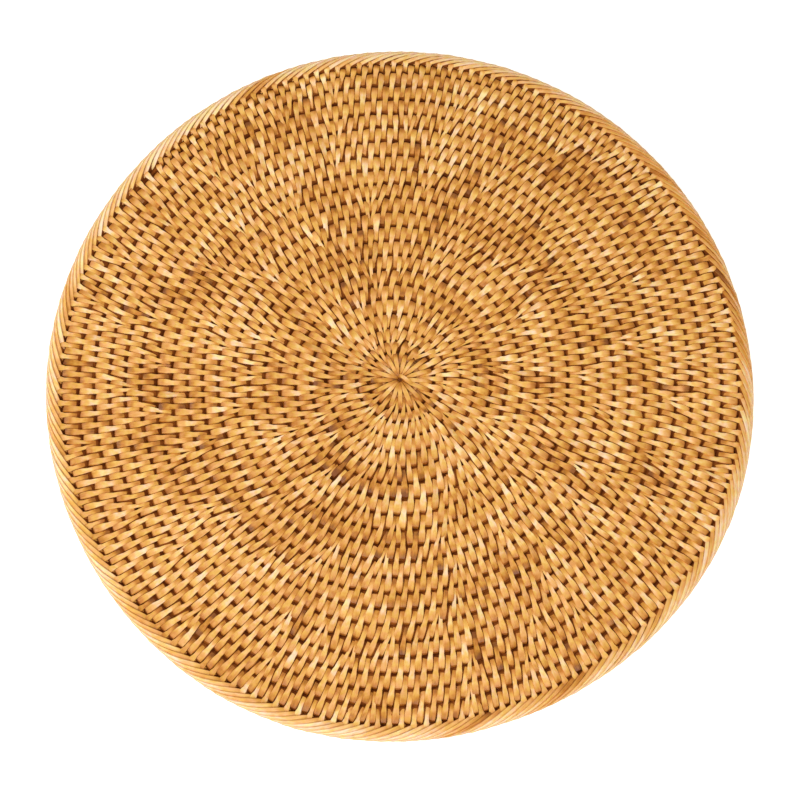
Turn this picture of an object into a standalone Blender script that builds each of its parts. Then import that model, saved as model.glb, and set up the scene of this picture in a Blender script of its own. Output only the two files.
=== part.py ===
"""Round placemat of coiled rattan, lashed with split cane and closed with a hoop rim.

Metres, +Z up. The origin is the middle of the underside, and the mat lies on z = 0.
A turn number t counts the coil outwards from the eye: t = 0 is the eye's edge and
t = TURNS is the rim. A point of the coil is given by its bearing (the angle about +Z,
counter-clockwise from +X) and its turn number.
"""
import math

import bmesh
import bpy

# Whole mat
MAT_RADIUS = 0.190
CLEARANCE = 0.0003          # between pieces that touch
UNEVENNESS = (              # how far the hand-made outline runs in and out
    # waves round the mat, height, bearing of the first crest
    (2, 0.0004, 38.0),
    (3, 0.0005, -6.0),
    (4, 0.0005, -20.0),
    (5, 0.0003, -33.0),
)

# Eye
EYE_RADIUS = 0.0115
EYE_SPOKES = 17
EYE_DIMPLE_BOTTOM = 0.0040
EYE_PROFILE = (             # from its edge in to the dimple
    # radius, mean height, rise of the stitches over the gaps between them
    (EYE_RADIUS, 0.0050, 0.0007),
    (0.0092, 0.0066, 0.0007),
    (0.0052, 0.0063, 0.0007),
    (0.0022, 0.0058, 0.0004),
)

# Coil
TURNS = 21
NARROW_TURNS = 2            # the first turns are wound with a thinner core
NARROW_PITCH = 0.0058
COIL_TOP = 0.0080           # height of the crest of a full turn
COIL_GROOVE = 0.0020        # depth of the groove between two full turns
COIL_SECTION = (            # one turn from its inner groove to its outer one
    # share of the turn's width, share of the groove's depth risen
    (0.0, 0.0),
    (0.3, 1.0),
    (0.7, 1.0),
)
COIL_COLUMNS = 64
STEP_START = -20.0          # bearings between which each turn steps out by one pitch
STEP_END = 180.0

# Rim
HOOP_RADIUS = 0.0045
HOOP_AXIS_HEIGHT = 0.0042   # under its radius, so that the hoop has a flat underneath
WRAPS = 195
WRAP_RELIEF = 0.0005
WRAP_SLANT = 6              # wraps that one strip passes on its way over the hoop
HOOP_SIDES = 9

COIL_INNER_RADIUS = EYE_RADIUS + CLEARANCE
COIL_OUTER_RADIUS = MAT_RADIUS - 2 * HOOP_RADIUS - CLEARANCE
FULL_TURNS_WIDTH = COIL_OUTER_RADIUS - COIL_INNER_RADIUS - NARROW_TURNS * NARROW_PITCH
FULL_PITCH = FULL_TURNS_WIDTH / (TURNS - NARROW_TURNS)
MERGE_DISTANCE = 0.00002    # points nearer than this are one point

CANE = (0.62, 0.36, 0.13)
PALE_CANE = (0.72, 0.47, 0.20)
DARK_CANE = (0.45, 0.24, 0.08)


def cane_material(name, colour):
    """Varnished split cane."""
    material = bpy.data.materials.new(name)
    material.use_nodes = True
    shader = material.node_tree.nodes["Principled BSDF"]
    shader.inputs["Base Color"].default_value = (*colour, 1.0)
    shader.inputs["Roughness"].default_value = 0.4
    shader.inputs["Metallic"].default_value = 0.0
    return material


def add_object(name, mesh_builder, material):
    """Close the bmesh, turn its faces outwards and make it an object."""
    bmesh.ops.recalc_face_normals(mesh_builder, faces=mesh_builder.faces)
    mesh = bpy.data.meshes.new(name)
    mesh_builder.to_mesh(mesh)
    mesh_builder.free()
    mesh.materials.append(material)
    mesh.shade_smooth()
    mesh.set_sharp_from_angle(angle=math.radians(50))
    placed = bpy.data.objects.new(name, mesh)
    bpy.context.collection.objects.link(placed)
    return placed


def outline_shift(bearing):
    """How far the outline runs out (or in) at a bearing in radians."""
    return sum(height * math.cos(waves * (bearing - math.radians(crest)))
               for waves, height, crest in UNEVENNESS)


def uneven_point(radius, bearing, height):
    """A point of the mat: the shift is whole at the rim and fades towards the eye."""
    shifted = radius + outline_shift(bearing) * (radius / MAT_RADIUS) ** 2
    return (shifted * math.cos(bearing), shifted * math.sin(bearing), height)


def stepped_out(bearing):
    """Share of its step of one pitch that a turn has made at a bearing from -pi to pi."""
    share = (math.degrees(bearing) - STEP_START) / (STEP_END - STEP_START)
    share = min(max(share, 0.0), 1.0)
    return share * share * (3 - 2 * share)


def turn_radius(turn):
    """Radius of the groove at a turn number."""
    turn = min(max(turn, 0.0), float(TURNS))
    narrow = min(turn, NARROW_TURNS)
    return COIL_INNER_RADIUS + narrow * NARROW_PITCH + (turn - narrow) * FULL_PITCH


def bridge_rings(mesh_builder, lower, upper):
    """Quads between two closed rings of the same number of points."""
    count = len(lower)
    for index in range(count):
        following = (index + 1) % count
        mesh_builder.faces.new((lower[index], lower[following], upper[following], upper[index]))


def eye_ring(mesh_builder, radius, height, rise):
    """Ring of points, high on each stitch of the eye and low between two stitches."""
    columns = 2 * EYE_SPOKES
    points = []
    for column in range(columns):
        bearing = 2 * math.pi * column / columns
        offset = rise / 2 if column % 2 == 0 else -rise / 2
        point = (radius * math.cos(bearing), radius * math.sin(bearing), height + offset)
        points.append(mesh_builder.verts.new(point))
    return points


def make_eye(material):
    """Low hub whose stitches radiate from a pinched dimple."""
    mesh_builder = bmesh.new()
    foot = eye_ring(mesh_builder, EYE_RADIUS, 0.0, 0.0)
    rings = [foot] + [eye_ring(mesh_builder, *row) for row in EYE_PROFILE]
    for lower, upper in zip(rings, rings[1:]):
        bridge_rings(mesh_builder, lower, upper)
    middle = mesh_builder.verts.new((0.0, 0.0, EYE_DIMPLE_BOTTOM))
    lip = rings[-1]
    for near, far in zip(lip, lip[1:] + lip[:1]):
        mesh_builder.faces.new((near, far, middle))
    mesh_builder.faces.new(list(reversed(foot)))
    return add_object("eye", mesh_builder, material)


def coil_column(mesh_builder, bearing):
    """Section through every turn along one bearing, from the eye outwards.

    Stations before the coil's start or past its end lie on its edge, where they merge.
    """
    points = []
    step = stepped_out(bearing)
    for whole_turn in range(-1, TURNS + 1):
        inner = turn_radius(whole_turn + step)
        outer = turn_radius(whole_turn + step + 1)
        depth = COIL_GROOVE * min((outer - inner) / FULL_PITCH, 1.0)
        for width_share, depth_share in COIL_SECTION:
            radius = inner + (outer - inner) * width_share
            height = COIL_TOP - COIL_GROOVE + depth * depth_share
            points.append(mesh_builder.verts.new(uneven_point(radius, bearing, height)))
    edge = uneven_point(turn_radius(TURNS), bearing, COIL_TOP - COIL_GROOVE)
    points.append(mesh_builder.verts.new(edge))
    return points


def foot_ring(mesh_builder, radius, bearings):
    """Ring of points at the foot of one of the coil's two walls."""
    return [mesh_builder.verts.new(uneven_point(radius, bearing, 0.0)) for bearing in bearings]


def make_coil(material):
    """The wound field: ridged by its turns on top, plain underneath."""
    mesh_builder = bmesh.new()
    bearings = [-math.pi + 2 * math.pi * column / COIL_COLUMNS for column in range(COIL_COLUMNS)]
    columns = [coil_column(mesh_builder, bearing) for bearing in bearings]
    seam = coil_column(mesh_builder, math.pi)
    inner_foot = foot_ring(mesh_builder, turn_radius(0), bearings)
    outer_foot = foot_ring(mesh_builder, turn_radius(TURNS), bearings)

    ordered = columns + [seam]
    for near, far in zip(ordered, ordered[1:]):
        for station in range(len(near) - 1):
            mesh_builder.faces.new((near[station], near[station + 1], far[station + 1], far[station]))
    inner_edge = [column[0] for column in columns]
    outer_edge = [column[-1] for column in columns]
    bridge_rings(mesh_builder, outer_foot, outer_edge)
    bridge_rings(mesh_builder, inner_edge, inner_foot)
    bridge_rings(mesh_builder, inner_foot, outer_foot)
    # Where a turn has no width yet its points coincide, as they do along the seam, where each
    # turn runs on into the next.
    bmesh.ops.remove_doubles(mesh_builder, verts=mesh_builder.verts, dist=MERGE_DISTANCE)
    bmesh.ops.dissolve_degenerate(mesh_builder, edges=mesh_builder.edges, dist=MERGE_DISTANCE)
    return add_object("coil", mesh_builder, material)


def hoop_section():
    """Angles about the hoop's axis, from the inner edge of its flat over the top to the outer edge."""
    flat_edge = math.asin(HOOP_AXIS_HEIGHT / HOOP_RADIUS)
    start = math.pi + flat_edge
    end = -flat_edge
    return [start + (end - start) * side / (HOOP_SIDES - 1) for side in range(HOOP_SIDES)]


def make_rim(material):
    """The closing hoop, with one raised ridge for each slanting wrap of its lashing."""
    mesh_builder = bmesh.new()
    columns = 2 * WRAPS
    columns_passed = 2 * WRAP_SLANT
    axis_radius = MAT_RADIUS - HOOP_RADIUS
    rings = []
    for side, angle in enumerate(hoop_section()):
        on_the_flat = side in (0, HOOP_SIDES - 1)
        slant = columns_passed * side / (HOOP_SIDES - 1)
        points = []
        for column in range(columns):
            bearing = 2 * math.pi * (column - slant) / columns
            sunk = 0.0 if on_the_flat or column % 2 == 0 else WRAP_RELIEF
            section_radius = HOOP_RADIUS - sunk
            radius = axis_radius + section_radius * math.cos(angle)
            height = 0.0 if on_the_flat else HOOP_AXIS_HEIGHT + section_radius * math.sin(angle)
            points.append(mesh_builder.verts.new(uneven_point(radius, bearing, height)))
        rings.append(points)
    for lower, upper in zip(rings, rings[1:]):
        bridge_rings(mesh_builder, lower, upper)
    # The flat underneath is crossed straight, from each outer point to the inner one nearest it.
    outer_edge = rings[-1][columns_passed:] + rings[-1][:columns_passed]
    bridge_rings(mesh_builder, outer_edge, rings[0])
    return add_object("rim", mesh_builder, material)


for leftover in list(bpy.data.objects):
    bpy.data.objects.remove(leftover, do_unlink=True)

make_eye(cane_material("dark_cane", DARK_CANE))
make_coil(cane_material("cane", CANE))
make_rim(cane_material("pale_cane", PALE_CANE))
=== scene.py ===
"""Looks of the round rattan placemat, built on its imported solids. Metres, +Z up."""
import bisect
import math
import random

import bpy
import numpy as np
from mathutils import Matrix, Vector


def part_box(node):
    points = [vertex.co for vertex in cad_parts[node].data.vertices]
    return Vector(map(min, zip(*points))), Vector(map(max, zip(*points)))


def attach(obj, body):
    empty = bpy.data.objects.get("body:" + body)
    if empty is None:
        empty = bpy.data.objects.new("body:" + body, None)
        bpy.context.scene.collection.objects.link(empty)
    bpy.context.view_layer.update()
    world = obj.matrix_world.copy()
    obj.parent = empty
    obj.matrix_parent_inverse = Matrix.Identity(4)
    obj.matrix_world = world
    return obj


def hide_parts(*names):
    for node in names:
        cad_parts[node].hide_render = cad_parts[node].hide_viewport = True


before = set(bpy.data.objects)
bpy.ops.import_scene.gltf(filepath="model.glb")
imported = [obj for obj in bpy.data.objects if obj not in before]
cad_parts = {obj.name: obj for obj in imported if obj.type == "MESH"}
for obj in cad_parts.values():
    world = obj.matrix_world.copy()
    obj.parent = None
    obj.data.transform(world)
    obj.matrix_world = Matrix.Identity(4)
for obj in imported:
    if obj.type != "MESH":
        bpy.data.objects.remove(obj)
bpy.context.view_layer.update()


# Core of the coil: one long rattan rod wound in flat turns round the eye. Little of it shows, at
# the bottom of the holes between the lashings, where it is painted dark, partly because the rod is
# stained there and partly as painted shade for the depth of the holes. It starts and ends in a
# taper, and each turn steps out by one pitch over the far half of the mat.
TAU = 2 * math.pi
MAT_RADIUS = 0.190
EYE_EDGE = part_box("eye")[1].x
HOOP_RADIUS = 0.0045
COIL_START = EYE_EDGE + 0.0003
COIL_EDGE = MAT_RADIUS - 2 * HOOP_RADIUS - 0.0003
COIL_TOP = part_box("coil")[1].z
TURNS = 21
NARROW_TURNS = 2
NARROW_PITCH = 0.0058
EYE_PITCH = 0.0018
FULL_PITCH = (COIL_EDGE - COIL_START - NARROW_TURNS * NARROW_PITCH) / (TURNS - NARROW_TURNS)
STEP_START = -20.0
STEP_END = 180.0
LAST_TURN_SHARE = 0.58
LAST_TURN_ENDS = (128.0, 150.0)
CORE_HALF_HEIGHT = 0.0028
CORE_PRESS = 1.05
CORE_TIP = 0.0004
CORE_STATIONS = 84
CORE_SIDES = 10
SHARP_ANGLE = 0.75
# Painted shade: the coil colours are dark partly because the rod is stained and partly for the shade in the
# holes. The hub colour is painted shade on the floor of the middle hole. The eye colour is the rod's own
# tan.
COIL_STAIN_AND_SHADE = ((0.13, 0.028, 0.003, 1), (0.30, 0.085, 0.012, 1))
EYE_STAIN = (0.58, 0.28, 0.085, 1)
HUB_HOLE_SHADE = (0.24, 0.080, 0.022, 1)
UNEVENNESS = (
    # waves round the mat, height, bearing of the first crest
    (2, 0.0004, 38.0),
    (3, 0.0005, -6.0),
    (4, 0.0005, -20.0),
    (5, 0.0003, -33.0),
)
UPWARD = (0.0, 0.0, 1.0)


class Wire:
    """An output socket. Arithmetic on it adds Math nodes, or Vector Math nodes for a vector."""

    def __init__(self, graph, socket):
        self.graph = graph
        self.socket = socket

    def maths(self, operation, *values):
        vector = any(isinstance(value, Wire) and value.socket.type == "VECTOR" for value in values)
        kind = "ShaderNodeVectorMath" if vector else "ShaderNodeMath"
        return self.graph.node(kind, {"operation": operation}, dict(enumerate(values)))[0]

    def __add__(self, other):
        return self.maths("ADD", self, other)

    def __radd__(self, other):
        return self.maths("ADD", other, self)

    def __sub__(self, other):
        return self.maths("SUBTRACT", self, other)

    def __rsub__(self, other):
        return self.maths("SUBTRACT", other, self)

    def __mul__(self, other):
        return self.maths("MULTIPLY", self, other)

    def __rmul__(self, other):
        return self.maths("MULTIPLY", other, self)

    def __pow__(self, other):
        return self.maths("POWER", self, other)

    def __abs__(self):
        return self.maths("ABSOLUTE", self)

    def ramp(self, low, high, to_low=0.0, to_high=1.0):
        """Smooth step from to_low, where this is low, to to_high, where it is high."""
        settings = {"interpolation_type": "SMOOTHSTEP"}
        values = {"Value": self, "From Min": low, "From Max": high, "To Min": to_low, "To Max": to_high}
        return self.graph.node("ShaderNodeMapRange", settings, values)["Result"]


class Made:
    """A node that was added, whose outputs are read by name or number."""

    def __init__(self, graph, node):
        self.graph = graph
        self.node = node

    def __getitem__(self, key):
        return Wire(self.graph, self.node.outputs[key])


class Graph:
    """A node tree, of a material or of Geometry Nodes, that is filled node by node."""

    def __init__(self, tree):
        self.tree = tree

    def node(self, kind, settings=None, values=None):
        node = self.tree.nodes.new(kind)
        for name, setting in (settings or {}).items():
            setattr(node, name, setting)
        for key, value in (values or {}).items():
            if isinstance(value, Wire):
                self.tree.links.new(value.socket, node.inputs[key])
            else:
                node.inputs[key].default_value = value
        return Made(self, node)


class PieceGraph(Graph):
    """A Geometry Nodes tree with named inputs, whose result becomes one finished piece."""

    def __init__(self, name, **sizes):
        super().__init__(bpy.data.node_groups.new(name, "GeometryNodeTree"))
        self.tree.interface.new_socket("Geometry", in_out="INPUT", socket_type="NodeSocketGeometry")
        self.sizes = sizes
        for size, value in sizes.items():
            kind = "NodeSocketInt" if isinstance(value, int) else "NodeSocketFloat"
            self.tree.interface.new_socket(size, in_out="INPUT", socket_type=kind)
        self.tree.interface.new_socket("Geometry", in_out="OUTPUT", socket_type="NodeSocketGeometry")
        self.given = self.node("NodeGroupInput")

    def named(self, attribute, data_type="FLOAT"):
        """A named attribute of the geometry."""
        return self.node("GeometryNodeInputNamedAttribute", {"data_type": data_type}, {"Name": attribute})[0]

    def piece(self, name, start, shape, material):
        """Ends the tree and turns its result on the mesh start into a plain mesh object. Edges folded
        by more than SHARP_ANGLE stay crisp, as the corners of split cane do."""
        made = self.node("GeometryNodeRealizeInstances", {}, {"Geometry": shape})["Geometry"]
        made = self.node("GeometryNodeSetShadeSmooth", {}, {"Geometry": made})[0]
        angle = self.node("GeometryNodeInputMeshEdgeAngle")["Unsigned Angle"]
        folds = angle.maths("GREATER_THAN", angle, SHARP_ANGLE)
        made = self.node("GeometryNodeSetShadeSmooth", {"domain": "EDGE"},
                         {"Geometry": made, "Selection": folds, "Shade Smooth": False})[0]
        made = self.node("GeometryNodeSetMaterial", {}, {"Geometry": made, "Material": material})[0]
        self.node("NodeGroupOutput", {}, {"Geometry": made})
        carrier = bpy.data.objects.new(name + "_carrier", start)
        bpy.context.collection.objects.link(carrier)
        modifier = carrier.modifiers.new("shape", "NODES")
        modifier.node_group = self.tree
        for item in self.tree.interface.items_tree:
            if item.in_out == "INPUT" and item.name in self.sizes:
                modifier[item.identifier] = self.sizes[item.name]
        depsgraph = bpy.context.evaluated_depsgraph_get()
        mesh = bpy.data.meshes.new_from_object(
            carrier.evaluated_get(depsgraph), preserve_all_data_layers=True, depsgraph=depsgraph)
        carrier.modifiers.remove(modifier)
        bpy.data.objects.remove(carrier)
        mesh.materials.clear()
        mesh.materials.append(material)
        make_uneven(mesh)
        finished = bpy.data.objects.new(name, mesh)
        bpy.context.collection.objects.link(finished)
        return finished


def make_uneven(mesh):
    """Moves a mesh made on a true circle to the hand-made outline, whole at the rim and less inside,
    and raises what lies under the floor to it."""
    points = np.empty(len(mesh.vertices) * 3, np.float32)
    mesh.vertices.foreach_get("co", points)
    points = points.reshape(-1, 3)
    radius = np.hypot(points[:, 0], points[:, 1]) + 1e-9
    bearing = np.arctan2(points[:, 1], points[:, 0])
    shift = sum(height * np.cos(waves * (bearing - math.radians(crest)))
                for waves, height, crest in UNEVENNESS)
    points[:, :2] *= (1 + shift * radius / MAT_RADIUS ** 2)[:, None]
    points[:, 2] = np.maximum(points[:, 2], 0.0)
    mesh.vertices.foreach_set("co", points.ravel())
    mesh.update()


def turn_number(swept):
    """Turn reached on the groove that winds out between the turns, after a swept angle."""
    swept = np.asarray(swept, float)
    whole = np.floor(swept / TAU + 0.5)
    degrees = np.degrees(swept - TAU * whole)
    share = np.clip((degrees - STEP_START) / (STEP_END - STEP_START), 0, 1)
    step = share * share * (3 - 2 * share)
    closing = np.clip((degrees - LAST_TURN_ENDS[0]) / (LAST_TURN_ENDS[1] - LAST_TURN_ENDS[0]), 0, 1)
    blunt = np.minimum(step, LAST_TURN_SHARE) * (1 - closing) + closing
    return whole + np.where(whole == TURNS - 1, blunt, step)


def turn_radius(turn):
    """Radius of the groove at a turn number; under 0 it runs in over the eye."""
    turn = np.clip(turn, -1.0, TURNS)
    narrow = np.clip(turn, 0, NARROW_TURNS)
    full = np.maximum(turn - narrow, 0)
    return COIL_START + np.minimum(turn, 0) * EYE_PITCH + narrow * NARROW_PITCH + full * FULL_PITCH


def groove_radius(swept):
    return turn_radius(turn_number(swept))


def path_mesh(name, points, **attributes):
    """A mesh of one row of joined points a path. Each attribute gives a number or a vector for
    every point, or one number for a whole path."""
    paths, stations = points.shape[:2]
    index = np.arange(paths * stations).reshape(paths, stations)
    edges = np.stack([index[:, :-1], index[:, 1:]], -1).reshape(-1, 2)
    mesh = bpy.data.meshes.new(name)
    mesh.from_pydata(points.reshape(-1, 3).tolist(), edges.tolist(), [])
    for attribute, values in attributes.items():
        vector = values.ndim == 3
        made = mesh.attributes.new(attribute, "FLOAT_VECTOR" if vector else "FLOAT", "POINT")
        if not vector:
            values = np.broadcast_to(values.reshape(paths, -1), (paths, stations))
        made.data.foreach_set("vector" if vector else "value", values.ravel())
    return mesh


def wound_piece(name, start, sides, flatness, roundness, material):
    """Rods or strips along the paths of the start mesh, as one piece. The section is an oval at
    roundness 1 and boxier below it, and its flat side faces as the attribute facing says."""
    tree = PieceGraph(name, Sides=sides, Flatness=flatness, Roundness=roundness)
    path = tree.node("GeometryNodeMeshToCurve", {}, {"Mesh": tree.given["Geometry"]})[0]
    path = tree.node("GeometryNodeSetCurveNormal", {"mode": "FREE"},
                     {"Curve": path, "Normal": tree.named("facing", "FLOAT_VECTOR")})[0]
    section = tree.node("GeometryNodeCurvePrimitiveCircle", {"mode": "RADIUS"},
                        {"Resolution": tree.given["Sides"], "Radius": 1.0})["Curve"]
    spot = tree.node("ShaderNodeSeparateXYZ", {}, {0: tree.node("GeometryNodeInputPosition")[0]})
    section = tree.node("GeometryNodeStoreNamedAttribute", {"data_type": "FLOAT", "domain": "POINT"},
                        {"Geometry": section, "Name": "across", "Value": spot["Y"]})[0]
    x, y = [side.maths("SIGN", side) * abs(side) ** tree.given["Roundness"]
            for side in (spot["X"], spot["Y"])]
    boxier = tree.node("ShaderNodeCombineXYZ", {}, {0: x * tree.given["Flatness"], 1: y})[0]
    section = tree.node("GeometryNodeSetPosition", {}, {"Geometry": section, "Position": boxier})[0]
    shape = tree.node("GeometryNodeCurveToMesh", {},
                      {"Curve": path, "Profile Curve": section, "Scale": tree.named("half_width"),
                       "Fill Caps": True})[0]
    return tree.piece(name, start, shape, material)


stained_and_shaded_rod = bpy.data.materials.new("stained_and_shaded_rod")
stained_and_shaded_rod.use_nodes = True
paint = Graph(stained_and_shaded_rod.node_tree)
place = paint.node("ShaderNodeTexCoord")["Object"]
cloud = paint.node("ShaderNodeTexNoise", {}, {"Vector": place, "Scale": 160.0, "Detail": 3.0})[0]
spot = paint.node("ShaderNodeSeparateXYZ", {}, {0: place})
from_middle = (spot["X"] ** 2.0 + spot["Y"] ** 2.0) ** 0.5
# Painted shade: the rod is painted dark in the coil, for the shade of its holes as well as the stained rod,
# and at the floor of the middle hole. Inside the eye it keeps its own tan.
stain_and_shade = COIL_STAIN_AND_SHADE[1]
for blend, inner_colour in ((cloud.ramp(0.35, 0.65), COIL_STAIN_AND_SHADE[0]),
                           (from_middle.ramp(0.0125, 0.016), EYE_STAIN),
                           (from_middle.ramp(0.0018, 0.0032), HUB_HOLE_SHADE)):
    stain_and_shade = paint.node("ShaderNodeMix", {"data_type": "RGBA"},
                       {"Factor": blend, 6: inner_colour, 7: stain_and_shade})[2]
rod_shader = stained_and_shaded_rod.node_tree.nodes["Principled BSDF"]
rod_shader.inputs["Roughness"].default_value = 0.8
rod_shader.inputs["Specular IOR Level"].default_value = 0.1
stained_and_shaded_rod.node_tree.links.new(stain_and_shade.socket, rod_shader.inputs["Base Color"])

core_begin = TAU * STEP_START / 360 - TAU
core_end = TURNS * TAU + math.radians(LAST_TURN_ENDS[1])
core_swept = np.arange(core_begin, core_end, TAU / CORE_STATIONS)
core_inner = np.maximum(groove_radius(core_swept), COIL_START)
core_outer = groove_radius(core_swept + TAU)
core_half = np.maximum((core_outer - core_inner) / 2 * CORE_PRESS, CORE_TIP)
core_centre = (core_inner + core_outer) / 2
core_points = np.stack([core_centre * np.cos(core_swept), core_centre * np.sin(core_swept),
                        np.full(len(core_swept), COIL_TOP / 2)], -1)[None]
core_start = path_mesh("core_path", core_points, half_width=core_half,
                       facing=np.broadcast_to(UPWARD, core_points.shape))
core = wound_piece("wound_core", core_start, CORE_SIDES, 2 * CORE_HALF_HEIGHT / FULL_PITCH, 1.0,
                   stained_and_shaded_rod)
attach(core, "root")
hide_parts("coil")


# Lashing of the coil: strips of split cane, about 3 mm wide and varnished. Each strip comes up in
# a groove, crosses two turns and goes down in the next groove but one, between two strips of the
# turn before, so they lie like bricks, above and below. Extra strips fan in where the mat grows.
EYE_STITCH_PITCH = 0.0046
STITCH_PITCH = 0.0061
FULL_PITCH_RADIUS = 0.060
LEAN = 0.11
LEAN_SWAY = 0.045
LEAN_CREST = math.radians(85.0)
FORK_SPREAD = 0.22
FORK_SIDESTEP = 7.0
FORK_OWED = (0.2, 2.0)
FORK_SPACING = (0.95, 1.15)
EVENING_ROUNDS = 10
STRIP_WIDTH_SHARE = 0.58
INNER_SHARE = 0.80
PINCH_SHARE = 0.75
OUTER_SHARE = 1.03
PINCH_LENGTH = 0.12
FREE_FROM = 0.44
FREE_WITHIN = 0.20
SIDE_STRIP_NARROWING = 0.16
WIDTH_SPREAD = (0.90, 1.07)
ROOM_LIMITS = (0.85, 1.3)
WIDTH_NEAR_EYE = (
    # radii of the groove, width there as a share of the usual one
    (0.014, 0.045),
    (1.06, 1.0),
)
SQUEEZED_LIFT = -0.0005
LIFT_SPREAD = (-0.00012, 0.00005)
TWIST_SPREAD = 0.17
STRIP_FLATNESS = 0.46
STRIP_SIDES = 8
STRIP_ROUNDNESS = 0.42
STRIP_STATIONS = 9
UNDER_SIDES = 6
UNDER_STATIONS = 7
SIDESTEP_SHARE = 0.015
HOLE_UNEVENNESS = 0.0003
INNER_SETBACK = 0.0013
INNER_SETBACK_SHARES = (
    # radii of the groove, share of the setback there
    (0.0125, 0.015, 0.021, 0.045),
    (-1.4, 0.85, 0.75, 1.0),
)
OUTER_SETBACK = 0.0009
OUTER_SETBACK_SHARES = ((0.020, 0.045), (0.6, 1.0))
RIM_OVERLAP = 0.0012
RIM_APPROACH = 0.2
MIDDLE_ON_GROOVE = 0.4
INNER_BEND = 0.0014
OUTER_BEND = 0.0014
BEND_NARROWING = 0.08
STEEPEST_BEND = 0.98
END_DROP = 0.0024
MIDDLE_DIP = 0.0004
EYE_STITCHES = 17
EYE_HOLE_SPREAD = 0.12
FIRST_STITCH = math.radians(60.0)
LASHING_END = TURNS * TAU + math.radians((LAST_TURN_ENDS[0] + LAST_TURN_ENDS[1]) / 2)
OUTER_TURNS_FROM = 15
USUAL_TINT = 0.44
TINT_SPREAD = 0.07
TINT_LIMITS = (-0.2, 1.0)
STRIPS_IN_A_RUN = (8, 24)
DARK_STRIPS = 0.03
DARKER = 0.28
CANE_COLOURS = (
    # tint, colour
    (0.0, (0.97, 0.74, 0.43, 1)),
    (0.30, (0.84, 0.46, 0.135, 1)),
    (0.52, (0.72, 0.34, 0.070, 1)),
    (0.72, (0.54, 0.20, 0.022, 1)),
    (1.0, (0.22, 0.065, 0.008, 1)),
)
CANE_HUES = ((1.00, 1.04, 0.78, 1), (1.02, 0.97, 1.14, 1))
# Painted shade: colour multiplied into the strips along their sides and at their ends.
STRIP_SIDE_SHADE = (0.46, 0.15, 0.02, 1)
chance = random.Random(7)
scatter = np.random.default_rng(7)


def stitch_pitch(radius):
    """Distance between two holes of a turn: closer near the eye."""
    share = np.clip((radius - COIL_START) / (FULL_PITCH_RADIUS - COIL_START), 0, 1)
    return EYE_STITCH_PITCH + (STITCH_PITCH - EYE_STITCH_PITCH) * share


def strip_lean(swept):
    """How far clockwise a strip leans in one turn of the coil; it varies round the mat."""
    turn_width = float(groove_radius(swept) - groove_radius(swept - TAU))
    return turn_width * (LEAN + LEAN_SWAY * math.cos(2 * (swept - LEAN_CREST)))


def come_up(gap):
    """Where the strip that crosses a gap comes up: in the hole between the two strips that end
    beside the gap, or in the fork between them if they both cross one gap of the turn before."""
    before, after = crossed[gap:gap + 2]
    if before is None and after is None:
        return (holes[gap] + holes[gap + 1]) / 2 - TAU
    if before == after:
        return (holes[before] + holes[before + 1]) / 2
    return holes[after]


holes = [FIRST_STITCH + TAU * (index + chance.uniform(-EYE_HOLE_SPREAD, EYE_HOLE_SPREAD)) / EYE_STITCHES
         for index in range(EYE_STITCHES)]
crossed = [None] * EYE_STITCHES                         # the gap that the strip of each hole crosses
stitches = []
owed = 0.0                                              # strips that the girth still asks for
gap = 0
while holes[gap] < LASHING_END - TAU:
    turn_end = min(holes[gap] + TAU, LASHING_END - TAU)
    fresh = []
    while gap + 1 < len(holes) and holes[gap] < turn_end:
        left, right = holes[gap], holes[gap + 1]
        start = come_up(gap)
        radius = float(groove_radius(left + TAU))
        spacing = (right - left) * radius / stitch_pitch(radius)
        owed += spacing - 1
        sides = [0]
        if owed > chance.uniform(*FORK_OWED) and spacing > chance.uniform(*FORK_SPACING):
            sides = [-1, 1]
            owed -= 1
        for side in sides:
            crossing = (left + right) / 2 + (right - left) * FORK_SPREAD * side
            outer = crossing + TAU
            outer -= strip_lean(outer) / float(groove_radius(outer))
            fresh.append((start, crossing, outer, side, gap))
        gap += 1
    landing = [holes[-1]] + [strip[2] for strip in fresh]
    closing = turn_end == LASHING_END - TAU
    landing.append(holes[gap] + TAU if closing else 2 * landing[-1] - landing[-2])
    for _ in range(EVENING_ROUNDS):
        landing[1:-1] = [0.5 * here + 0.25 * (before + after)
                         for before, here, after in zip(landing, landing[1:], landing[2:])]
    for (start, crossing, _, side, over), outer in zip(fresh, landing[1:-1]):
        if outer < LASHING_END:
            stitches.append((start, crossing, outer, side))
            holes.append(outer)
            crossed.append(over)


def groove_point(swept, outward=0.0, side=0.0):
    """Points on the groove, moved outward, and to the counter-clockwise side of their holes for a
    side of 1, where a strip comes up, or to the other side for -1, where one goes down."""
    radius = groove_radius(swept) + outward
    bearing = swept + side * SIDESTEP_SHARE * stitch_pitch(radius) / radius
    return np.stack([radius * np.cos(bearing), radius * np.sin(bearing), np.zeros_like(radius)], -1)


def unit(vectors):
    return vectors / np.maximum(np.linalg.norm(vectors, axis=-1, keepdims=True), 1e-12)


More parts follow.
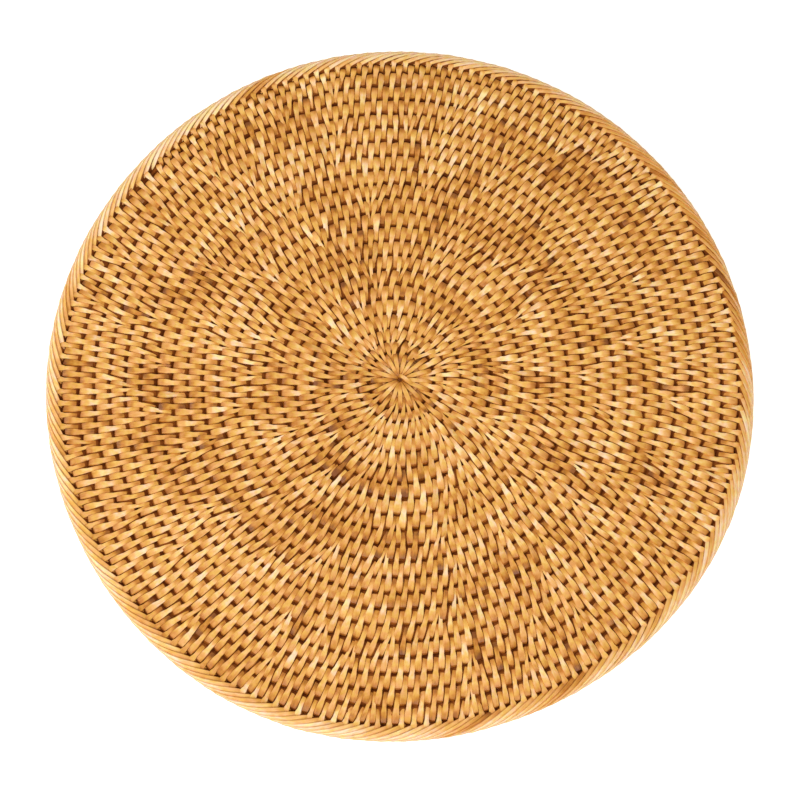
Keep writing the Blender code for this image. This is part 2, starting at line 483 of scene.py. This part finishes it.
def bent_paths(inner, middle, outer, stations, top, width, upward=1.0, pinch=1.0):
    """Paths of strips through three points each, bent down at both ends. With a pinch of 1 a strip
    is dipped and pinched between two holes in the middle, and its outer half lies higher and wider
    than the inner one. Gives points, normals, half widths and the share of the way along."""
    count = len(inner)
    along = (1 - np.cos(np.pi * np.linspace(0, 1, stations))) / 2
    share = along[None, :, None]
    points = (inner[:, None] * (1 - share) * (1 - 2 * share) + middle[:, None] * 4 * share * (1 - share)
              + outer[:, None] * share * (2 * share - 1))
    tangents = unit(inner[:, None] * (4 * share - 3) + middle[:, None] * (4 - 8 * share)
                    + outer[:, None] * (4 * share - 1))
    length = np.linalg.norm(outer - inner, axis=-1)[:, None]
    ending = np.clip(along[None] * length / INNER_BEND, 0, 1)
    bend = 1 - np.minimum(ending, np.clip((1 - along[None]) * length / OUTER_BEND, 0, 1))
    at_holes = pinch * np.exp(-((along - 0.5) / PINCH_LENGTH) ** 2)
    drop = END_DROP * (1 - np.sqrt(1 - bend ** 2)) + MIDDLE_DIP * at_holes
    free = np.clip((along - FREE_FROM) / FREE_WITHIN, 0, 1)
    lift = scatter.uniform(*LIFT_SPREAD, (count, 1)) + pinch * SQUEEZED_LIFT * (1 - free)
    spread = INNER_SHARE + (OUTER_SHARE - INNER_SHARE) * free
    spread = spread + (PINCH_SHARE - spread) * at_holes
    width = width * scatter.uniform(*WIDTH_SPREAD, (count, 1)) * (1 + pinch * (spread - 1))
    width = width * (1 - BEND_NARROWING * bend)
    points[..., 2] = top - upward * STRIP_FLATNESS * width / 2 + upward * (lift - drop)
    facing = np.sign(along - 0.5)[None, :, None] * bend[..., None] * tangents
    facing[..., 2] = upward * np.sqrt(1 - np.minimum(bend, STEEPEST_BEND) ** 2)
    sideways = np.stack([-tangents[..., 1], tangents[..., 0], np.zeros((count, stations))], -1)
    facing = unit(facing + sideways * scatter.normal(0, TWIST_SPREAD, (count, 1, 1)))
    return points, facing, width / 2, np.repeat(along[None], count, 0)


def strip_mesh(name, paths, tints):
    """Start mesh of cane strips, with what their colour needs: the way along and across, and a
    grain of its own for each strip."""
    points, facing, width, along = paths
    length = np.linalg.norm(np.diff(points, axis=1), axis=-1).sum(1, keepdims=True)
    return path_mesh(name, points, facing=facing, half_width=width, tint=tints, along=along * length,
                     way=along, grain=scatter.uniform(0, 100, len(points)))


def strip_piece(name, start, sides, flatness=STRIP_FLATNESS):
    return wound_piece(name, start, sides, flatness, STRIP_ROUNDNESS, cane)


def cane_tints(count, usual=USUAL_TINT):
    """A tint from 0 (pale) to 1 (brown) for each strip in turn: each length of cane makes a run of
    strips of about one colour, and a few strips are darker."""
    tints = []
    while len(tints) < count:
        shade = usual - TINT_SPREAD + min(chance.expovariate(1 / TINT_SPREAD), 5 * TINT_SPREAD)
        tints += [shade + chance.gauss(0, TINT_SPREAD) for _ in range(chance.randint(*STRIPS_IN_A_RUN))]
    tints = [tint + (DARKER if chance.random() < DARK_STRIPS else 0.0) for tint in tints[:count]]
    return np.clip(tints, *TINT_LIMITS)


cane = bpy.data.materials.new("varnished_cane")
cane.use_nodes = True
paint = Graph(cane.node_tree)


def own(attribute):
    return paint.node("ShaderNodeAttribute", {"attribute_name": attribute})["Fac"]


place = paint.node("ShaderNodeTexCoord")["Object"]
across, along, grain, way = own("across"), own("along"), own("grain"), own("way")
fibre_place = paint.node("ShaderNodeCombineXYZ", {}, {0: across * 5.0, 1: along * 220.0, 2: grain})[0]
fibre = paint.node("ShaderNodeTexNoise", {}, {"Vector": fibre_place, "Scale": 1.0, "Detail": 2.0})[0]
blotch_place = paint.node("ShaderNodeCombineXYZ", {}, {0: across, 1: along * 330.0, 2: grain + 40.0})[0]
blotch = paint.node("ShaderNodeTexNoise", {}, {"Vector": blotch_place, "Scale": 1.0, "Detail": 1.0})[0]
cloud = paint.node("ShaderNodeTexNoise", {}, {"Vector": place, "Scale": 38.0, "Detail": 3.0})[0]
shade = own("tint") + (fibre - 0.5) * 0.28 + blotch.ramp(0.30, 0.72, -0.05, 0.10) + (cloud - 0.5) * 0.24
# Painted light and shade along each strip: lighter in its middle and darker towards both ends, where it
# bends down into the holes.
shade = shade + abs(way - 0.52).ramp(0.08, 0.44, -0.17, 0.20)
colours = paint.node("ShaderNodeValToRGB", {}, {0: shade})
band = colours.node.color_ramp.elements
band[0].color, band[-1].color = CANE_COLOURS[0][1], CANE_COLOURS[-1][1]
for tint, colour in CANE_COLOURS[1:-1]:
    band.new(tint).color = colour
tone = paint.node("ShaderNodeTexNoise", {}, {"Vector": blotch_place, "Scale": 0.8, "Detail": 1.0})[1]
hue = paint.node("ShaderNodeMix", {"data_type": "RGBA"},
                 {"Factor": paint.node("ShaderNodeSeparateXYZ", {}, {0: tone})["Y"].ramp(0.35, 0.65),
                  6: CANE_HUES[0], 7: CANE_HUES[1]})[2]
toned = paint.node("ShaderNodeMix", {"data_type": "RGBA", "blend_type": "MULTIPLY"},
                   {"Factor": 1.0, 6: colours["Color"], 7: hue})[2]
# Painted shade: the strips are darkened along their sides, more on the inner half, which lies low between
# its neighbours, and at both ends, where they go down into the holes.
edge = abs(across).ramp(0.72, 1.0) * way.ramp(0.45, 0.7, 0.55, 0.22)
end = abs(way - 0.47).ramp(0.42, 0.53)
side_shaded = paint.node("ShaderNodeMix", {"data_type": "RGBA", "blend_type": "MULTIPLY"},
                    {"Factor": edge + end * 0.5, 6: toned, 7: STRIP_SIDE_SHADE})[2]
bump = paint.node("ShaderNodeBump", {}, {"Strength": 0.35, "Distance": 0.0002, "Height": fibre})[0]
cane_shader = cane.node_tree.nodes["Principled BSDF"]
cane_shader.inputs["Specular IOR Level"].default_value = 0.25
cane_shader.inputs["Coat Weight"].default_value = 0.22
cane_shader.inputs["Coat Roughness"].default_value = 0.22
cane.node_tree.links.new(side_shaded.socket, cane_shader.inputs["Base Color"])
cane.node_tree.links.new((0.42 + fibre * 0.2).socket, cane_shader.inputs["Roughness"])
cane.node_tree.links.new(bump.socket, cane_shader.inputs["Normal"])

inner_holes, crossings, outer_holes, sides = np.array(stitches).T
uneven = scatter.uniform(-HOLE_UNEVENNESS, HOLE_UNEVENNESS, (2, len(stitches)))
set_back = np.interp(groove_radius(inner_holes), *INNER_SETBACK_SHARES)
inner = groove_point(inner_holes, INNER_SETBACK * set_back + uneven[0], 1.0 + FORK_SIDESTEP * sides)
set_back = np.interp(groove_radius(outer_holes), *OUTER_SETBACK_SHARES)
at_rim = np.clip(outer_holes - (LASHING_END - TAU), 0, RIM_APPROACH) / RIM_APPROACH
outer = groove_point(outer_holes, uneven[1] - OUTER_SETBACK * set_back + RIM_OVERLAP * at_rim, -1.0)
middle = groove_point(crossings) * MIDDLE_ON_GROOVE + (inner + outer) * ((1 - MIDDLE_ON_GROOVE) / 2)
stitch_tints = cane_tints(len(stitches))
pitch = stitch_pitch(groove_radius(outer_holes))
room = np.clip(np.gradient(outer_holes) * groove_radius(outer_holes) / pitch, *ROOM_LIMITS)
strip_width = STRIP_WIDTH_SHARE * pitch * room * (1 - SIDE_STRIP_NARROWING * np.abs(sides))
strip_width = (strip_width * np.interp(groove_radius(crossings), *WIDTH_NEAR_EYE))[:, None]
paths = bent_paths(inner, middle, outer, STRIP_STATIONS, COIL_TOP, strip_width)
split = int(np.searchsorted(crossings, TAU * OUTER_TURNS_FROM))
for name, chosen in (("lashing_inner_turns", slice(None, split)),
                     ("lashing_outer_turns", slice(split, None))):
    start = strip_mesh(name + "_paths", [values[chosen] for values in paths], stitch_tints[chosen])
    lashing = strip_piece(name, start, STRIP_SIDES)
    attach(lashing, "root")
under_paths = bent_paths(inner, middle, outer, UNDER_STATIONS, 0.0, strip_width, -1.0)
start = strip_mesh("lashing_underside_paths", under_paths, stitch_tints)
underside = strip_piece("lashing_underside", start, UNDER_SIDES)
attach(underside, "root")


# Eye: the start of the mat, three rings of the same rod inside seventeen cane strips that fan out
# from a small hole in the middle, where the first strip is drawn through and crosses over. The
# smallest ring is the floor of that hole.
EYE_RODS = (
    # radius of the ring, half the width of the rod
    (0.0012, 0.0014),
    (0.0049, 0.0025),
    (0.0095, 0.0026),
)
HUB = (-0.0006, -0.0002)
HUB_RADIUS = 0.0012
SPOKE_WIDTH = 0.0025
SPOKE_ROOM = 0.52
SPOKE_SETBACK = 1.2 * OUTER_SETBACK
SPOKE_SWING = 0.10
SPOKE_STATIONS = 11
SPOKE_TINT = 0.56
KNOT = ((-0.0004, 0.0012), (0.0016, 0.0006), (0.0074, -0.0040))
KNOT_WIDTH = 0.0021
KNOT_LIFT = 0.0003
KNOT_TINT = 0.45

ring_swept = np.linspace(0, TAU, 49)
rings = np.array([[(radius * math.cos(swept), radius * math.sin(swept), COIL_TOP / 2)
                   for swept in ring_swept] for radius, _ in EYE_RODS])
ring_start = path_mesh("eye_rod_paths", rings, half_width=np.array([half for _, half in EYE_RODS]),
                       facing=np.broadcast_to(UPWARD, rings.shape))
eye_rods = wound_piece("eye_rods", ring_start, CORE_SIDES, CORE_HALF_HEIGHT / EYE_RODS[-1][1], 1.0,
                       stained_and_shaded_rod)

spoke_holes = np.array(holes[:EYE_STITCHES])
spoke_outer = groove_point(spoke_holes, -SPOKE_SETBACK, -1.0)
spoke_bearing = spoke_holes + SPOKE_SWING
spoke_inner = np.stack([HUB[0] + HUB_RADIUS * np.cos(spoke_bearing),
                        HUB[1] + HUB_RADIUS * np.sin(spoke_bearing), np.zeros(EYE_STITCHES)], -1)
spoke_middle = (spoke_inner + spoke_outer) / 2
for name, top, upward in (("eye_spokes", COIL_TOP, 1.0), ("eye_spokes_underside", 0.0, -1.0)):
    points, facing, width, along = bent_paths(spoke_inner, spoke_middle, spoke_outer, SPOKE_STATIONS, top,
                                              SPOKE_WIDTH, upward, 0.0)
    reach = np.hypot(points[..., 0], points[..., 1])
    width = np.minimum(width, SPOKE_ROOM * TAU * reach / EYE_STITCHES)
    start = strip_mesh(name + "_paths", (points, facing, width, along),
                       cane_tints(EYE_STITCHES, SPOKE_TINT))
    spokes = strip_piece(name, start, STRIP_SIDES)
    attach(spokes, "root")
knot_ends = [np.array([(x, y, 0.0)]) for x, y in KNOT]
knot_paths = bent_paths(*knot_ends, SPOKE_STATIONS, COIL_TOP + KNOT_LIFT, KNOT_WIDTH, 1.0, 0.0)
knot = strip_piece("eye_knot", strip_mesh("eye_knot_path", knot_paths, np.array([KNOT_TINT])), STRIP_SIDES)
for piece in (eye_rods, knot):
    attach(piece, "root")
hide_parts("eye")


# Rim: a round hoop beside the last turn. Strips from the last turn reach over it, and one flat
# strip from each hole of that turn is wound round it clockwise, each lying partly over the next.
HOOP_AXIS_HEIGHT = 0.0042
HOOP_CENTRE = MAT_RADIUS - HOOP_RADIUS
HOOP_RODS = (
    # radius of the ring, height and half thickness: the hoop, and a thin filler inside it
    (HOOP_CENTRE, HOOP_AXIS_HEIGHT, 0.0039),
    (COIL_EDGE + 0.0004, COIL_TOP / 2, 0.0015),
)
OVER_REACH = 0.0045
OVER_WIDTH = 0.95 * STRIP_WIDTH_SHARE * STITCH_PITCH
OVER_DROP = 0.0002
WRAP_WIDTH = 0.0028
WRAP_FLATNESS = 0.34
WRAP_TILT = 0.50
WRAP_STATIONS = 13
WRAP_START = 160.0
WRAP_TURN = 290.0
WRAP_SWING = 0.064
WRAP_SWING_SPREAD = 0.0006
WRAP_BEND = 1.25
WRAP_DEPTH = 0.0007
WRAP_DEPTH_SPREAD = 0.0001
WRAP_FIRST_LIFT = 0.0002
WRAP_SUNK_SHARE = 0.10
WRAP_SUNK_DEPTH = 0.0010
WRAP_WIDTH_SPREAD = (0.9, 1.1)
WRAP_NARROW_SHARE = 0.42
WRAP_NARROWING = 0.26
WRAP_NARROWING_SWAY = 0.14
WRAP_NARROWING_CREST = math.radians(60)
WRAP_WAY_BEND = 1.6
WRAP_INSIDE_SHARE = 0.33
WRAP_INSIDE_TINT = 0.32
# Painted light and shade round the rim: the wraps are painted darker towards the upper right, away from the
# lamps, and lighter on the left and at the lower right.
WRAP_LIGHT_WAVES = (
    # waves round the rim, height, bearing of the first crest
    (2, 0.065, 40.0),
    (1, 0.035, -15.0),
)

hoop_swept = np.linspace(0, TAU, 145)
hoop = np.array([[(radius * math.cos(swept), radius * math.sin(swept), height) for swept in hoop_swept]
                 for radius, height, _ in HOOP_RODS])
hoop_start = path_mesh("hoop_path", hoop, half_width=np.array([half for _, _, half in HOOP_RODS]),
                       facing=np.broadcast_to(UPWARD, hoop.shape))
hoop_core = wound_piece("hoop_core", hoop_start, CORE_SIDES, 1.0, 1.0, stained_and_shaded_rod)

last_turn = bisect.bisect(holes, LASHING_END - TAU)
rim_holes = np.array(holes[last_turn:])
rim_gaps = (rim_holes[1:] + rim_holes[:-1]) / 2
over_inner = np.array([come_up(gap) for gap in range(last_turn, len(holes) - 1)])
over_inner = groove_point(over_inner, INNER_SETBACK, 1.0)
over_outer = groove_point(rim_gaps, OVER_REACH, -2.0)
over_middle = (groove_point(rim_gaps) + (over_inner + over_outer) / 2) / 2
faces = [bent_paths(over_inner, over_middle, over_outer, STRIP_STATIONS, top, OVER_WIDTH, upward)
         for top, upward in ((COIL_TOP - OVER_DROP, 1.0), (0.0, -1.0))]
over_start = strip_mesh("rim_lashing_paths", [np.concatenate(both) for both in zip(*faces)],
                        cane_tints(2 * len(rim_gaps)))
over = strip_piece("rim_lashing", over_start, STRIP_SIDES)

share = np.linspace(0, 1, WRAP_STATIONS)[None]
round_hoop = np.radians(WRAP_START - WRAP_TURN * share)
uneven = scatter.uniform(-1, 1, (2, len(rim_holes), 1))
swing = WRAP_SWING * share ** WRAP_BEND + WRAP_SWING_SPREAD * share * uneven[0]
sunk = np.clip(1 - share / WRAP_SUNK_SHARE, 0, 1)
tube = HOOP_RADIUS - WRAP_DEPTH + WRAP_FIRST_LIFT * (1 - share)
tube = tube + WRAP_DEPTH_SPREAD * uneven[1] - WRAP_SUNK_DEPTH * sunk
bearing = rim_holes[:, None] - swing / HOOP_CENTRE
outward = np.stack([np.cos(round_hoop) * np.cos(bearing), np.cos(round_hoop) * np.sin(bearing),
                    np.sin(round_hoop) + 0 * bearing], -1)
axis = np.stack([HOOP_CENTRE * np.cos(bearing), HOOP_CENTRE * np.sin(bearing),
                 np.full_like(bearing, HOOP_AXIS_HEIGHT)], -1)
wrap_points = axis + outward * tube[..., None]
wrap_side = np.cross(outward, unit(np.gradient(wrap_points, axis=1)))
wrap_facing = unit(outward + WRAP_TILT * wrap_side)
wrap_width = WRAP_WIDTH * scatter.uniform(*WRAP_WIDTH_SPREAD, (len(rim_holes), 1)) / 2
narrowing = (WRAP_NARROWING + WRAP_NARROWING_SWAY * np.cos(rim_holes - WRAP_NARROWING_CREST))[:, None]
wrap_width = wrap_width * (1 - narrowing * (1 - np.clip(share / WRAP_NARROW_SHARE, 0, 1)))
# The way along, bent, stretches the cane material's painted shade over a longer start of each wrap.
wrap_paths = (wrap_points, wrap_facing, wrap_width, share ** WRAP_WAY_BEND + 0 * bearing)
wrap_tints = (cane_tints(len(rim_holes), 0.0) + scatter.normal(0, TINT_SPREAD, len(rim_holes)))[:, None]
wrap_tints = wrap_tints + WRAP_INSIDE_TINT * np.clip(1 - share / WRAP_INSIDE_SHARE, 0, 1)
for times, height, crest in WRAP_LIGHT_WAVES:
    wrap_tints = wrap_tints + height * np.cos(times * (rim_holes - math.radians(crest)))[:, None]
wraps = strip_piece("rim_wraps", strip_mesh("rim_wrap_paths", wrap_paths, wrap_tints),
                    STRIP_SIDES, WRAP_FLATNESS)
for piece in (hoop_core, over, wraps):
    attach(piece, "root")
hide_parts("rim")


# Floor, light and camera: a white floor that glows a little, a broad soft light from the near side,
# a weaker one from the left, and a white sky. The camera looks down on the mat, slightly tilted.
FLOOR_RADIUS = 12.0
FLOOR_SIDES = 64
FLOOR_GAP = 0.0002
LIGHTS = (
    # name, place, watts
    ("key", (0.10, -0.90, 1.10), 9.5),
    ("side", (-0.95, 0.10, 0.85), 7.0),
)
LIGHT_SIZE = 0.9
SKY_STRENGTH = 0.545
FLOOR_GLOW = 0.40
CAMERA_DISTANCE = 0.80486
CAMERA_TILT = math.radians(12.205)
CAMERA_BEARING = math.radians(-4.8)
LOOK_AT = Vector((-0.00032, -0.01014, 0.0))

sky = bpy.data.worlds.new("sky")
bpy.context.scene.world = sky
sky.use_nodes = True
sky.node_tree.nodes["Background"].inputs["Color"].default_value = (1, 1, 1, 1)
sky.node_tree.nodes["Background"].inputs["Strength"].default_value = SKY_STRENGTH

floor_paint = bpy.data.materials.new("white_floor")
floor_paint.use_nodes = True
floor_shader = floor_paint.node_tree.nodes["Principled BSDF"]
floor_shader.inputs["Base Color"].default_value = (0.97, 0.97, 0.96, 1)
floor_shader.inputs["Roughness"].default_value = 0.9
floor_shader.inputs["Emission Color"].default_value = (1, 1, 1, 1)
floor_shader.inputs["Emission Strength"].default_value = FLOOR_GLOW
floor_mesh = bpy.data.meshes.new("floor")
floor_edge = [(FLOOR_RADIUS * math.cos(TAU * side / FLOOR_SIDES),
               FLOOR_RADIUS * math.sin(TAU * side / FLOOR_SIDES), -FLOOR_GAP)
              for side in range(FLOOR_SIDES)]
floor_mesh.from_pydata(floor_edge, [], [range(FLOOR_SIDES)])
floor_mesh.materials.append(floor_paint)
floor = bpy.data.objects.new("floor", floor_mesh)
bpy.context.collection.objects.link(floor)

for name, place, energy in LIGHTS:
    lamp = bpy.data.lights.new(name, "AREA")
    lamp.shape = "SQUARE"
    lamp.size = LIGHT_SIZE
    lamp.energy = energy
    light = bpy.data.objects.new(name, lamp)
    light.location = place
    light.rotation_euler = (-light.location).to_track_quat("-Z", "Y").to_euler()
    bpy.context.collection.objects.link(light)

camera_data = bpy.data.cameras.new("camera")
camera_data.lens = 67.0
camera_data.sensor_width = 36.0
camera = bpy.data.objects.new("camera", camera_data)
back = Vector((math.sin(CAMERA_TILT) * math.sin(CAMERA_BEARING),
               -math.sin(CAMERA_TILT) * math.cos(CAMERA_BEARING), math.cos(CAMERA_TILT)))
right = Vector((0, 1, 0)).cross(back).normalized()
up = back.cross(right)
camera.matrix_world = Matrix((right, up, back)).transposed().to_4x4()
camera.location = LOOK_AT + back * CAMERA_DISTANCE
bpy.context.collection.objects.link(camera)
bpy.context.scene.camera = camera
bpy.context.scene.view_settings.view_transform = "Standard"
